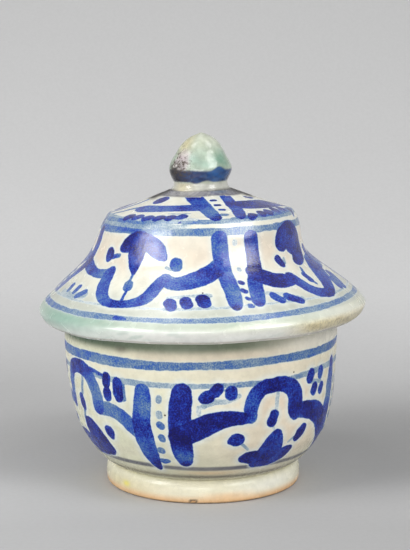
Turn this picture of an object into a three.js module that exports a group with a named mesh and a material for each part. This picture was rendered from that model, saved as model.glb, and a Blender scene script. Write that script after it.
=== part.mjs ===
// Covered butter pot in tin-glazed earthenware: a thrown bowl on a luted foot ring, and a flared
// lid with a rolled brim, a locating collar underneath and a pointed knob on its crown.
// Millimetres, +Z up. The origin is the middle of the foot ring's resting face.
import * as THREE from "three";

// Driving dimensions
const FOOT_RADIUS = 41.9; // widest point of the foot roll
const FOOT_REST_RADIUS = 40.8; // outer edge of the flat resting face
const FOOT_WELL_RADIUS = 32; // recess under the base
const FOOT_HEIGHT = 9.7; // from the table to the seam under the bowl
const WAIST_RADIUS = 39.8; // seam between the foot and the bowl
const BELLY_RADIUS = 58.6; // widest point of the bowl's wall
const RIM_HEIGHT = 77; // top of the bowl's lip, where the lid rests
const WALL = 5.4; // fired wall of the bowl at the lip
const FLOOR = 5.6; // thickness of the bowl's floor
const BRIM_RADIUS = 70; // widest point of the lid's rolled brim
const BRIM_LOW = 71.4; // underside of the brim, a drip edge below the lip
const SEAT_RADIUS = 60; // outer edge of the flat ring under the lid that rests on the lip
const SHOULDER_RADIUS = 39.6; // corner between the lid's wall and its crown
const SHOULDER_HEIGHT = 116.3;
const CROWN_HEIGHT = 126; // flat seat for the knob
const CROWN_SEAT_RADIUS = 13.4;
const LID_WALL = 6.4;
const COLLAR_DEPTH = 10; // how far the collar hangs into the bowl's mouth
const COLLAR_WALL = 4.6;
const COLLAR_PLAY = 1.3; // slack between the collar and the bowl's lip
const KNOB_BASE_RADIUS = 12.9; // spread base of the knob's stem
const KNOB_NECK_RADIUS = 11.5;
const KNOB_RADIUS = 13.3; // widest point of the knob's bud
const TOP = 150; // tip of the knob

// Facets round the turned pieces
const TURN_SEGMENTS = 60;
const KNOB_SEGMENTS = 36;

// Glaze colours
const TIN_WHITE = 0xe9e3d2;
const FOOT_CREAM = 0xe6d6bb;
const BRIM_GREEN = 0xd5dcc8;
const KNOB_GREEN = 0xb9cdbb;
const BARE_BISCUIT = 0xd9bf9c;

// Fits between the pieces
const MOUTH_RADIUS = BELLY_RADIUS - WALL;
const COLLAR_RADIUS = MOUTH_RADIUS - COLLAR_PLAY;
const HOLLOW_RADIUS = COLLAR_RADIUS - COLLAR_WALL;

const at = (radius, height) => new THREE.Vector2(radius, height);

// A smooth run of a profile, cut into a number of steps.
const spline = (steps, ...points) => new THREE.SplineCurve(points).getPoints(steps);

function arc(steps, centre, radius, fromDegrees, toDegrees) {
  const [from, to] = [fromDegrees, toDegrees].map(THREE.MathUtils.degToRad);
  return new THREE.ArcCurve(centre.x, centre.y, radius, from, to, to < from).getPoints(steps);
}

// Joins corners and runs into one profile, without the points that two runs share.
function profile(...runs) {
  const shared = 1e-3;
  const points = runs.flat();
  return points.filter((point, i) => i === 0 || point.distanceTo(points[i - 1]) > shared);
}

// Turns a profile of (radius, height) points about the pot's axis.
function thrown(name, points, segments, colour, roughness) {
  const material = new THREE.MeshStandardMaterial({ color: colour, roughness, metalness: 0 });
  const mesh = new THREE.Mesh(new THREE.LatheGeometry(points, segments), material);
  mesh.name = name;
  mesh.rotation.x = Math.PI / 2;
  return mesh;
}

// Foot: a fat roll of clay, flat where it rests and where the bowl sits on it.
function footRing() {
  const wornEdge = 0.8; // height of the worn edge beside the resting face
  const wellEdge = 1.6; // radius of the recess's lower edge
  const outside = spline(
    9,
    at(FOOT_REST_RADIUS, 0),
    at(FOOT_RADIUS - 0.3, wornEdge),
    at(FOOT_RADIUS, FOOT_HEIGHT * 0.43),
    at(FOOT_RADIUS - 0.4, FOOT_HEIGHT * 0.76),
    at(WAIST_RADIUS, FOOT_HEIGHT),
  );
  const inside = arc(4, at(FOOT_WELL_RADIUS + wellEdge, wellEdge), wellEdge, 180, 270);
  const points = profile(outside, at(FOOT_WELL_RADIUS, FOOT_HEIGHT), inside, outside[0]);
  return thrown("foot_ring", points, TURN_SEGMENTS, FOOT_CREAM, 0.4);
}

// Bowl: a round belly rising from a coved waist to an upright wall with a rounded lip.
function bowl() {
  const lip = WALL / 2;
  const lipCentre = at(BELLY_RADIUS - lip, RIM_HEIGHT - lip);
  const floorHeight = FOOT_HEIGHT + FLOOR;
  const outside = spline(
    15,
    at(WAIST_RADIUS, FOOT_HEIGHT),
    at(WAIST_RADIUS + 5, FOOT_HEIGHT + 3.4), // turn of the cove
    at(BELLY_RADIUS * 0.86, 20.5),
    at(BELLY_RADIUS * 0.93, 29),
    at(BELLY_RADIUS * 0.974, 42),
    at(BELLY_RADIUS * 0.997, 58),
    at(BELLY_RADIUS, lipCentre.y),
  );
  const inside = spline(
    12,
    at(MOUTH_RADIUS, lipCentre.y),
    at(MOUTH_RADIUS, 58),
    at(BELLY_RADIUS * 0.89, 42),
    at(BELLY_RADIUS * 0.84, 31),
    at(BELLY_RADIUS * 0.72, 21),
    at(BELLY_RADIUS * 0.5, floorHeight + 0.6), // the floor dishes a little
    at(0, floorHeight),
  );
  const points = profile(at(0, FOOT_HEIGHT), outside, arc(6, lipCentre, lip, 0, 180), inside);
  return thrown("bowl", points, TURN_SEGMENTS, TIN_WHITE, 0.25);
}

// Lid: a shallow crown, a wall that flares like a bell and a thick rolled brim. Underneath,
// a flat ring rests on the bowl's lip, and the dome is hollow above it.
function lidDome() {
  const ceiling = CROWN_HEIGHT - LID_WALL;
  const crown = spline(
    7,
    at(CROWN_SEAT_RADIUS, CROWN_HEIGHT),
    at(CROWN_SEAT_RADIUS + 4.1, CROWN_HEIGHT - 1.6),
    at(SHOULDER_RADIUS - 11.6, SHOULDER_HEIGHT + 4.1),
    at(SHOULDER_RADIUS - 1.2, SHOULDER_HEIGHT + 0.9),
  );
  const wall = spline(
    16,
    at(SHOULDER_RADIUS, SHOULDER_HEIGHT),
    at(SHOULDER_RADIUS + 2.6, 111.6),
    at(SHOULDER_RADIUS + 4.8, 104),
    at(SHOULDER_RADIUS + 8.8, 97), // the flare starts here
    at(SHOULDER_RADIUS + 20.7, 87),
    at(BRIM_RADIUS - 3.4, BRIM_LOW + 10),
    at(BRIM_RADIUS - 1.4, BRIM_LOW + 7.8),
  );
  const roll = spline(
    12,
    at(BRIM_RADIUS, BRIM_LOW + 5.8),
    at(BRIM_RADIUS - 0.6, BRIM_LOW + 3.8),
    at(BRIM_RADIUS - 2.2, BRIM_LOW + 1.5),
    at(BRIM_RADIUS - 4, BRIM_LOW + 0.3),
    at(BRIM_RADIUS - 5.6, BRIM_LOW), // drip edge
    at(BRIM_RADIUS - 7.4, BRIM_LOW + 1.6),
    at(BRIM_RADIUS - 8.6, BRIM_LOW + 4.4),
    at(SEAT_RADIUS, RIM_HEIGHT),
  );
  const hollow = spline(
    10,
    at(HOLLOW_RADIUS, RIM_HEIGHT),
    at(HOLLOW_RADIUS - 0.6, 84),
    at(HOLLOW_RADIUS - 3.4, 92),
    at(SHOULDER_RADIUS + 0.4, 99),
    at(SHOULDER_RADIUS - 1.6, 106),
    at(SHOULDER_RADIUS - 6, SHOULDER_HEIGHT - LID_WALL + 0.9), // turn under the crown
    at(CROWN_SEAT_RADIUS + 0.6, ceiling - 0.6),
    at(0, ceiling),
  );
  const points = profile(at(0, CROWN_HEIGHT), crown, wall, roll, hollow).reverse();
  return thrown("lid_dome", points, TURN_SEGMENTS, BRIM_GREEN, 0.25);
}

// Collar: the ring under the lid that drops into the bowl's mouth and keeps the lid centred.
function lidCollar() {
  const draft = 0.7; // the outside tapers in, to find the mouth
  const edge = (COLLAR_WALL - draft) / 2;
  const tip = arc(6, at(HOLLOW_RADIUS + edge, RIM_HEIGHT - COLLAR_DEPTH + edge), edge, 180, 360);
  const root = at(HOLLOW_RADIUS, RIM_HEIGHT);
  const points = profile(root, tip, at(COLLAR_RADIUS, RIM_HEIGHT), root);
  return thrown("lid_collar", points, TURN_SEGMENTS, BARE_BISCUIT, 0.6);
}

// Knob: a stem with a spread base, and a bud that swells low and rises to a blunt point.
function knob() {
  const outside = spline(
    18,
    at(KNOB_BASE_RADIUS, CROWN_HEIGHT),
    at(KNOB_NECK_RADIUS + 0.2, CROWN_HEIGHT + 1.6),
    at(KNOB_NECK_RADIUS, CROWN_HEIGHT + 3.6),
    at(KNOB_RADIUS - 0.7, CROWN_HEIGHT + 6),
    at(KNOB_RADIUS, CROWN_HEIGHT + 9.4),
    at(KNOB_RADIUS - 1.8, CROWN_HEIGHT + 13.4),
    at(KNOB_RADIUS * 0.62, TOP - 5.8),
    at(KNOB_RADIUS * 0.31, TOP - 1.9),
    at(0, TOP),
  );
  const points = profile(at(0, CROWN_HEIGHT), outside);
  return thrown("knob", points, KNOB_SEGMENTS, KNOB_GREEN, 0.25);
}

const pot = new THREE.Group();
pot.add(footRing(), bowl());

const lid = new THREE.Group();
lid.add(lidDome(), lidCollar(), knob());

const butterPot = new THREE.Group();
butterPot.add(pot, lid);

export default butterPot;
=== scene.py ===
import math

import bpy
import numpy as np
from mathutils import Euler, Matrix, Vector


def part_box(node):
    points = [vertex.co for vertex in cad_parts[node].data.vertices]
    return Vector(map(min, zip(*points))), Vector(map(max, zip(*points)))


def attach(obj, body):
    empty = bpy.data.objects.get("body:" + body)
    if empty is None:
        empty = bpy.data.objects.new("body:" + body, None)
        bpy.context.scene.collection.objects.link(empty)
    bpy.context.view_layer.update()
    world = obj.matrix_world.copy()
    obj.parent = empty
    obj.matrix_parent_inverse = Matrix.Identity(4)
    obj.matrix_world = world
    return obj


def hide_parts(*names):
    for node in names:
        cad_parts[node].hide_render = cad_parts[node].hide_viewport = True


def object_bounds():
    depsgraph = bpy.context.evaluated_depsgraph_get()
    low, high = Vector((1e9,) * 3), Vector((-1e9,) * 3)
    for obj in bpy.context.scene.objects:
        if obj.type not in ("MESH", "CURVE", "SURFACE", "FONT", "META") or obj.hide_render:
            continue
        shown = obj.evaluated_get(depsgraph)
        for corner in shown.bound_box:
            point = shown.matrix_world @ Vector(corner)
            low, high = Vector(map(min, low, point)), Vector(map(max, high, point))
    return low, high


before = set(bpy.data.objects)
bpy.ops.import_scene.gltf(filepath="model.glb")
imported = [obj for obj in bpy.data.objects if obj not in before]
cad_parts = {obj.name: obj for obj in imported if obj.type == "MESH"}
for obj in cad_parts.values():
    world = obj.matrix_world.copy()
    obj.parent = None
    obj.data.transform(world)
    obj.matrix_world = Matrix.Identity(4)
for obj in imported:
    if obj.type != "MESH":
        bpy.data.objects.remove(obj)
cad_low, cad_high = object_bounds()

MM = 0.001
rng = np.random.default_rng(7)

# Heights and radii of the solids, in millimetres
SEAT_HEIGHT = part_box("bowl")[1].z / MM
SEAT_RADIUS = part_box("bowl")[1].x / MM
FOOT_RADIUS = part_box("foot_ring")[1].x / MM
BRIM_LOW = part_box("lid_dome")[0].z / MM
KNOB_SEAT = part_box("knob")[0].z / MM
KNOB_SEAT_RADIUS = 13.4  # where the crown starts, beside the knob
UNDER_KNOB = 12.0  # nearer the axis, the lid's top is hidden by the knob
UNDER_BASE = 39.0  # nearer the axis, the bowl's underside is hidden by the foot

# The hand of the thrower, in millimetres, or as a share of the radius where the line says so
LEAN = math.radians(1.2)  # an angle: the rim and the lid lean to the left
LEAN_FROM = 45.0
LEAN_FULL = 70.0
OVAL = 0.002  # share
THREE_SIDED = 0.001  # share
DENT = 0.14
RIDGE = 0.05
RIDGE_PITCH = 4.7
DRIP_WAVE = 0.3
KNOB_LUMP = 0.022  # share
KNOB_FULL_TIP = 0.14  # share
SWAY = ((0, 0), (25, 0), (38, -.3), (48, -.9), (69, -1.0), (74, -.4), (82, 0), (88, -.8), (92, -1.2),
        (98, -2.2), (104, -1.5), (111, -.6), (118, 0), (138, 0), (150, .9))  # (height, shift to the right)

# The painter's layers: thin washes, the main brushwork, and strokes drawn over it
LAYERS = ("line", "brush", "over")
FAR = 9.0  # the distance kept where no stroke is near
STROKE_REACH = 3.6  # beyond its edge, a stroke is looked for no further than this
SHAKE = (0.5, 0.35, 0.25, 0.04)  # how far a redrawn stroke strays: degrees, along, width, tone


def smoothstep(low, high, x):
    t = np.clip((np.asarray(x, float) - low) / (high - low), 0.0, 1.0)
    return t * t * (3 - 2 * t)


def bump(x, centre, reach):
    """1 at the centre, falling softly to 0 at a distance of reach."""
    return 1 - smoothstep(0, reach, np.abs(np.asarray(x, float) - centre))


def turn_from(degrees, centre):
    """Degrees from a centre, the short way round."""
    return (np.asarray(degrees, float) - centre + 180) % 360 - 180


def ripple(degrees, height, seed, turns=(2, 3, 5, 7), waves=(40, 23, 14, 9)):
    """A smooth random field round the pot, about -1 to 1, that closes on itself."""
    draw = np.random.default_rng(seed)
    total = 0.0
    for count, wave in zip(turns, waves):
        phase = draw.uniform(0, 2 * math.pi, 2)
        slope = draw.choice([-1, 1])
        total = total + np.sin(count * np.radians(degrees) + phase[0]
                               + slope * height * 2 * math.pi / wave + phase[1])
    return total / len(turns)


def cloudy(degrees, height, seed, **sizes):
    """A ripple of about 0 to 1."""
    return 0.5 + 0.5 * ripple(degrees, height, seed, **sizes)


def bell(half, spread):
    """Weights of a blur that reaches half steps to each side."""
    weights = np.exp(-0.5 * (np.arange(-half, half + 1) / spread) ** 2)
    return weights / weights.sum()


def srgb(red, green, blue):
    """A colour written as it looks on screen, 0 to 255, as linear RGBA."""
    channels = [c / 255 for c in (red, green, blue)]
    linear = [c / 12.92 if c <= 0.04045 else ((c + 0.055) / 1.055) ** 2.4 for c in channels]
    return (*linear, 1.0)


# Outlines


def outline_of(node, same_ring=0.05):
    """The outline of a turned CAD node as (radius, height) rows in mm, and whether it is a closed loop."""
    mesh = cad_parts[node].data
    rings = []
    ring_of = []
    for vertex in mesh.vertices:
        spot = (math.hypot(vertex.co.x, vertex.co.y) / MM, vertex.co.z / MM)
        known = [i for i, ring in enumerate(rings) if math.dist(ring, spot) < same_ring]
        if not known:
            known = [len(rings)]
            rings.append(spot)
        ring_of.append(known[0])
    links = [set() for _ in rings]
    for face in mesh.polygons:
        touched = {ring_of[i] for i in face.vertices}
        for ring in touched:
            links[ring] |= touched - {ring}
    ends = sorted((i for i, linked in enumerate(links) if len(linked) == 1), key=lambda i: rings[i][1])
    walk = [ends[0] if ends else 0]
    while len(walk) < len(rings):
        walk.append(min(links[walk[-1]] - set(walk)))
    points = np.array([rings[i] for i in walk])
    radius, height = points.T
    area = np.sum(radius * np.roll(height, -1) - np.roll(radius, -1) * height)
    if area < 0:
        points = points[::-1]
    return points, not ends


def hermite(t, start, end, leaving, arriving):
    """A smooth curve from start to end, with the ways it leaves and arrives, at steps t from 0 to 1."""
    return ((2 * t**3 - 3 * t**2 + 1) * start + (t**3 - 2 * t**2 + t) * leaving
            + (3 * t**2 - 2 * t**3) * end + (t**3 - t**2) * arriving)


def smooth_outline(points, closed, corner=38.0, spacing=0.1, soften=0.35):
    """A fine line through the outline: smooth between corners, and every corner slightly rounded."""
    if closed:
        points = np.vstack([points, points[:1]])
    legs = np.diff(points, axis=0)
    lengths = np.hypot(*legs.T)
    ways = legs / lengths[:, None]
    before = np.vstack([ways[-1:] if closed else ways[:1], ways])
    after = np.vstack([ways, ways[:1] if closed else ways[-1:]])
    bend = np.degrees(np.arccos(np.clip((before * after).sum(1), -1, 1)))
    mean = before + after
    mean /= np.linalg.norm(mean, axis=1)[:, None]
    sharp = (bend > corner)[:, None]
    leaving = np.where(sharp, after, mean)
    arriving = np.where(sharp, before, mean)
    pieces = []
    for i, length in enumerate(lengths):
        t = np.linspace(0, 1, max(2, int(length / spacing)), endpoint=False)[:, None]
        pieces.append(hermite(t, points[i], points[i + 1], length * leaving[i], length * arriving[i + 1]))
    line = np.vstack([*pieces, points[-1:]])
    reach = int(3 * soften / spacing)
    weights = bell(reach, soften / spacing)
    if closed:
        padded = np.pad(line[:-1], ((reach, reach + 1), (0, 0)), "wrap")
    else:
        padded = np.pad(line, ((reach, reach), (0, 0)), "reflect", reflect_type="odd")
    return np.column_stack([np.convolve(padded[:, k], weights, "valid") for k in (0, 1)])


def paced(line, pace):
    """Points along a line whose local spacing is what pace gives there, with both ends kept."""
    gaps = np.hypot(*np.diff(line, axis=0).T)
    middles = (line[1:] + line[:-1]) / 2
    count = np.concatenate([[0], np.cumsum(gaps / pace(middles, np.cumsum(gaps)))])
    stops = np.linspace(0, count[-1], int(round(count[-1])) + 1)
    return np.column_stack([np.interp(stops, count, line[:, k]) for k in (0, 1)])


def turned(degrees, radius, height):
    """Points at these degrees round the axis. 0 is the front, and they grow to the right."""
    angle = np.radians(degrees)
    return np.column_stack([radius * np.sin(angle), -radius * np.cos(angle), height])


class Turned:
    """A piece turned about the pot's axis: its points in mm before the hand bends them, and its faces."""

    def __init__(self, node, sectors, pace):
        self.node = node
        points, closed = outline_of(node)
        rings = paced(smooth_outline(points, closed), pace)
        if closed:
            rings = rings[:-1]
        self.rings = rings
        self.lengths = np.concatenate([[0], np.cumsum(np.hypot(*np.diff(rings, axis=0).T))])
        turn = np.arange(sectors) * 360 / sectors
        whole = range(len(rings)) if closed else range(1, len(rings) - 1)
        ring_of = np.repeat(list(whole), sectors)
        self.degrees = np.tile(turn, len(whole))
        index = {ring: k * sectors for k, ring in enumerate(whole)}
        faces = []
        order = list(whole) + ([whole[0]] if closed else [])
        side = np.arange(sectors)
        for low, high in zip(order, order[1:]):
            a, b = index[low] + side, index[high] + side
            faces += np.column_stack([a, np.roll(a, -1), np.roll(b, -1), b]).tolist()
        if not closed:
            for pole, ring, flip in ((0, 1, True), (len(rings) - 1, len(rings) - 2, False)):
                ring_of = np.append(ring_of, pole)
                self.degrees = np.append(self.degrees, 0.0)
                edge = index[ring] + side
                tip = np.full(sectors, len(ring_of) - 1)
                fan = np.column_stack([edge, np.roll(edge, -1), tip])
                faces += (fan[:, ::-1] if flip else fan).tolist()
        self.faces = faces
        self.ring_of = ring_of
        self.radius = rings[ring_of, 0]
        self.height = rings[ring_of, 1]
        self.points = turned(self.degrees, self.radius, self.height)

    def near(self, centre, reach):
        """1 at a place round the pot, falling softly to 0 at reach degrees to either side of it."""
        return bump(turn_from(self.degrees, centre), 0, reach)

    def paint_side(self, rings, along):
        """Says which rings carry the ornament, and each one's place along the outline."""
        self.side_rings = rings
        self.side_along = along
        place = np.full(len(self.rings), np.nan)
        place[rings] = along
        self.along = np.nan_to_num(place[self.ring_of], nan=-FAR)
        self.painted = ~np.isnan(place[self.ring_of])

    def spot(self, degrees, along):
        """The point of the painted side at these degrees and this place along the outline."""
        order = np.argsort(self.side_along)
        radius, height = (np.interp(along, self.side_along[order], self.rings[self.side_rings, k][order])
                          for k in (0, 1))
        return turned(degrees, radius, height)


# The sway of the walls, made smooth, at every quarter of a millimetre of height
SWAY_BLUR = 12
SWAY_HEIGHTS = np.arange(0, 152, 0.25)
SWAY_PADDED = np.pad(np.interp(SWAY_HEIGHTS, *zip(*SWAY)), 3 * SWAY_BLUR, "edge")
SWAY_CURVE = np.convolve(SWAY_PADDED, bell(3 * SWAY_BLUR, SWAY_BLUR), "valid")


def handmade(points, degrees):
    """Bends ideal points as the thrower's hand did: walls sway, the lid leans, no ring is quite round."""
    x, y, z = points.T
    turn = np.radians(degrees)
    radius = np.hypot(x, y)
    above_foot = smoothstep(8, 30, z)
    up_knob = z - KNOB_SEAT
    out_of_round = OVAL * np.sin(2 * turn + 0.6) + THREE_SIDED * np.sin(3 * turn + 2.1)
    ridges = RIDGE * np.sin(2 * math.pi * z / RIDGE_PITCH + 1.5 * np.sin(turn + z / 20))
    ridges = ridges * (1 - 0.75 * smoothstep(SEAT_HEIGHT, SEAT_HEIGHT + 9, z))
    dents = DENT * ripple(degrees, z, 3) + ridges
    lumps = KNOB_LUMP * smoothstep(0, 6, up_knob) * ripple(degrees, z, 6, (1, 2, 3, 5), (31, 17, 11, 8))
    lumps = lumps + KNOB_FULL_TIP * smoothstep(15, 23, up_knob)
    scale = 1 + above_foot * (out_of_round + dents / np.maximum(radius, 1)) + lumps
    drip_edge = bump(z, BRIM_LOW, 7) * (radius > SEAT_RADIUS + 1)
    wave = DRIP_WAVE * drip_edge * ripple(degrees, 0, 9, (3, 5, 9, 14))
    lean = LEAN * smoothstep(LEAN_FROM, LEAN_FULL, z)
    shift = np.interp(z, SWAY_HEIGHTS, SWAY_CURVE) - lean * np.maximum(z - SEAT_HEIGHT, 0)
    height = np.maximum(z + wave + lean * x * scale, 0)
    return np.column_stack([x * scale + shift, y * scale, height])


# Brushwork


class Paint:
    """What the brush left on a piece: for each layer, the distance to the stroke's edge and its tone."""

    def __init__(self, piece):
        self.piece = piece
        self.edge = {layer: np.full(len(piece.points), FAR) for layer in LAYERS}
        self.tone = {layer: np.zeros(len(piece.points)) for layer in LAYERS}

    def lay(self, layer, where, edge, tone):
        """Puts paint on some points, where its edge is nearer than that of the paint in the layer."""
        nearer = edge < self.edge[layer][where]
        spots = where[nearer]
        self.edge[layer][spots] = edge[nearer]
        self.tone[layer][spots] = tone[nearer]

    def ring(self, layer, along, width, tone, seed, wander=0.3, uneven=0.22, patchy=0.25, sag=0.0, tilt=0.0):
        """A line drawn round the turning pot. It may sag at the front and back, and tilt to the right."""
        piece = self.piece
        where = np.flatnonzero(piece.painted)
        degrees = piece.degrees[where]
        middle = along + wander * ripple(degrees, 0, seed)
        middle = middle + sag * np.cos(np.radians(2 * degrees)) + tilt * np.sin(np.radians(degrees))
        half = width / 2 * (1 + uneven * ripple(degrees, 0, seed + 1, turns=(3, 5, 8, 13)))
        edge = np.abs(piece.along[where] - middle) - half
        load = tone * (1 + patchy * ripple(degrees, 0, seed + 2, turns=(3, 4, 7, 11)))
        near = edge < FAR
        self.lay(layer, where[near], edge[near], load[near])

    def stroke(self, layer, centre, points, jitter=0.0):
        """One brush stroke: rows of (degrees from the centre, along, width, tone)."""
        piece = self.piece
        rows = np.array(points, float)
        rows = rows + jitter * rng.normal(size=rows.shape) * SHAKE
        fine = spline_rows(rows)
        path = piece.spot(centre + fine[:, 0], fine[:, 1])
        half, tone = fine[:, 2] / 2, fine[:, 3]
        reach = half.max() + STROKE_REACH
        low, high = path.min(0) - reach, path.max(0) + reach
        inside = ((piece.points > low) & (piece.points < high)).all(1) & piece.painted
        where = np.flatnonzero(inside)
        spots = piece.points[where]
        best = np.full(len(where), FAR)
        load = np.zeros(len(where))
        for i in range(max(1, len(path) - 1)):
            j = min(i + 1, len(path) - 1)
            leg = path[j] - path[i]
            t = np.clip((spots - path[i]) @ leg / max(leg @ leg, 1e-9), 0, 1)
            gap = np.linalg.norm(spots - path[i] - t[:, None] * leg, axis=1)
            edge = gap - (half[i] + t * (half[j] - half[i]))
            nearer = edge < best
            best[nearer] = edge[nearer]
            load[nearer] = (tone[i] + t * (tone[j] - tone[i]))[nearer]
        self.lay(layer, where, best, load)

    def wipe(self, where):
        """Takes the paint off some of the points."""
        for layer in LAYERS:
            self.edge[layer][where] = FAR

    def halo(self, reach):
        """1 at the edge of the brushwork, falling to 0 at a distance of reach outside it."""
        return smoothstep(reach, 0.3, np.minimum(self.edge["brush"], self.edge["over"]))

    def motif(self, strokes, centre, jitter=0.0, flip=False):
        """A group of strokes about a centre, redrawn with some jitter, or flipped left to right."""
        side = -1 if flip else 1
        for layer, points in strokes:
            self.stroke(layer, centre, [(side * row[0], *row[1:]) for row in points], jitter)


def spline_rows(rows, steps=5):
    """Rows of numbers made finer by a smooth curve through them."""
    if len(rows) < 3:
        return rows
    longer = np.vstack([2 * rows[0] - rows[1], rows, 2 * rows[-1] - rows[-2]])
    t = np.linspace(0, 1, steps, endpoint=False)[:, None]
    fine = [hermite(t, b, c, (c - a) / 2, (d - b) / 2)
            for a, b, c, d in zip(longer, longer[1:], longer[2:], longer[3:])]
    return np.vstack([*fine, rows[-1]])


# Every stroke below is a layer and rows of (degrees from the motif's centre, along, width, tone).
# Along is the height on the bowl, and the distance from the knob's seat down the lid.

BOWL_BARS = [
    ("brush", [(-5.8, 50.2, 6.8, .68), (-6, 46.5, 7.8, .62), (-7, 41, 8, .6), (-7.8, 36, 8.4, .86),
               (-7.4, 31.5, 8.8, .88), (-6.7, 27, 8.2, .7), (-5.7, 22, 7, .74), (-4.3, 17.6, 4, 1.0),
               (-3.6, 15.8, 1.6, 1.1)]),
    ("brush", [(10.6, 50.6, 8, .97), (10.2, 47.6, 9, .96), (9.4, 43, 9.2, .95), (8.9, 37, 9.4, .92),
               (8.8, 30.5, 9.2, 1.05), (9.3, 25, 8.6, .8), (9.9, 21.6, 7, .74), (10, 20, 5.2, 1.12)]),
    ("line", [(1.1, 47.8, 2.8, .34), (1.1, 46.8, 2.8, .34)]),
    ("line", [(.7, 41.2, 3.0, .34), (.7, 40.2, 3.0, .34)]),
    ("line", [(.6, 36.6, 3.3, .56), (1.1, 36, 3.3, .52)]),
    ("line", [(.7, 31, 3.3, .54), (.9, 30.4, 3.3, .5)]),
    ("line", [(-.6, 25.1, 3.4, .52), (-.1, 25, 3.3, .5)]),
    ("line", [(-1.4, 20.3, 2.8, .46), (.2, 19.9, 3, .52), (1.8, 20.2, 2.4, .44)]),
]

BOWL_PANEL_FRONT = [
    ("over", [(-41, 31.4, 8.4, .85), (-36, 33.6, 9.2, .98), (-31.5, 35.8, 9.4, 1.05), (-26, 38.2, 8.4, 1.08),
              (-20, 39.5, 6.8, 1.02), (-14.4, 39.3, 5.4, .94), (-11.2, 39.2, 4.4, .6)]),
    ("brush", [(-10.8, 39.6, 5.6, .66), (-10.6, 44.2, 6.2, .74), (-8.6, 48.6, 6.5, .86),
               (-5.6, 51.3, 6.2, .95), (-1.2, 51.9, 6, .98), (4, 51.8, 6.4, .96), (8.4, 49.7, 7.2, .92),
               (10.6, 45.8, 8.2, .9), (10.8, 40.6, 8, .92), (11.4, 38.8, 6.6, .92)]),
    ("over", [(12, 39.2, 6, .6), (16.3, 39.2, 7.4, .95), (23, 37.8, 8.6, .98), (28.5, 34.8, 9, .96),
              (32.5, 30, 8.4, .9), (35.5, 25.4, 7.4, .85)]),
    ("line", [(1.3, 48.4, 2.1, .24), (1, 44, 2, .22), (.6, 41, 2, .2)]),
    ("line", [(-.6, 35, 1.4, .18), (.6, 32.6, 1.4, .18)]),
    ("brush", [(0, 39.6, 4.3, .95), (-1.1, 36.6, 4.8, .86)]),
    ("brush", [(2, 30.4, 5.6, .88), (1.4, 28, 8.6, .86), (.8, 25, 11, .9), (-.2, 22, 12, .96)]),
    ("brush", [(-12.2, 21.2, 4.6, 1.15), (-9.4, 21.4, 6.8, 1.06), (-5, 20.8, 7.6, .96), (0, 20, 7.4, .92)]),
    ("brush", [(11.4, 22.7, 4.2, 1.15), (8.8, 21.2, 7, 1.0), (5.2, 19.8, 7.6, .94), (1, 19, 7.6, .92)]),
    ("brush", [(-5.5, 18, 5, .92), (2.5, 18, 5, .92)]),
    ("brush", [(-19.2, 29.6, 3, 1.05), (-17, 30.2, 5.8, .96), (-15.9, 30.2, 5.4, .92)]),
    ("line", [(-14, 28, 1.7, .36), (-11, 25.4, 1.4, .28)]),
    ("brush", [(14.6, 27.6, 4.4, .98), (16, 29.4, 5.4, 1.0), (17.4, 31, 4.4, 1.0)]),
    ("line", [(12.4, 27.8, 1.6, .3), (9.6, 26, 1.3, .24)]),
    ("brush", [(-29.6, 48.2, 4.8, .95), (-28.2, 48.8, 5.5, .96)]),
    ("brush", [(-25.3, 51, 5, .95), (-24.3, 51.9, 5, .96)]),
    ("brush", [(-18.9, 50.9, 5.1, .95), (-18.9, 49.6, 5.2, .95)]),
    ("line", [(-30, 45, 2.6, .28), (-26, 46.6, 2.6, .24), (-20.4, 46.8, 2.2, .26), (-15.6, 48.8, 2.2, .26)]),
    ("line", [(-32, 41.6, 2.2, .2), (-32, 44.6, 2.2, .22)]),
    ("brush", [(19.9, 53.4, 4.9, .95), (19.3, 52, 4.9, .95)]),
    ("brush", [(27.3, 53.6, 4.4, .85), (26.8, 52.2, 4.4, .82)]),
    ("brush", [(22.8, 47.6, 4.7, .95), (22.4, 46.4, 4.7, .95)]),
    ("brush", [(28.4, 46.9, 4.3, .74), (27.8, 45.8, 4.3, .72)]),
    ("line", [(20, 50.3, 2, .3), (27, 49.5, 2.2, .34)]),
]

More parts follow.
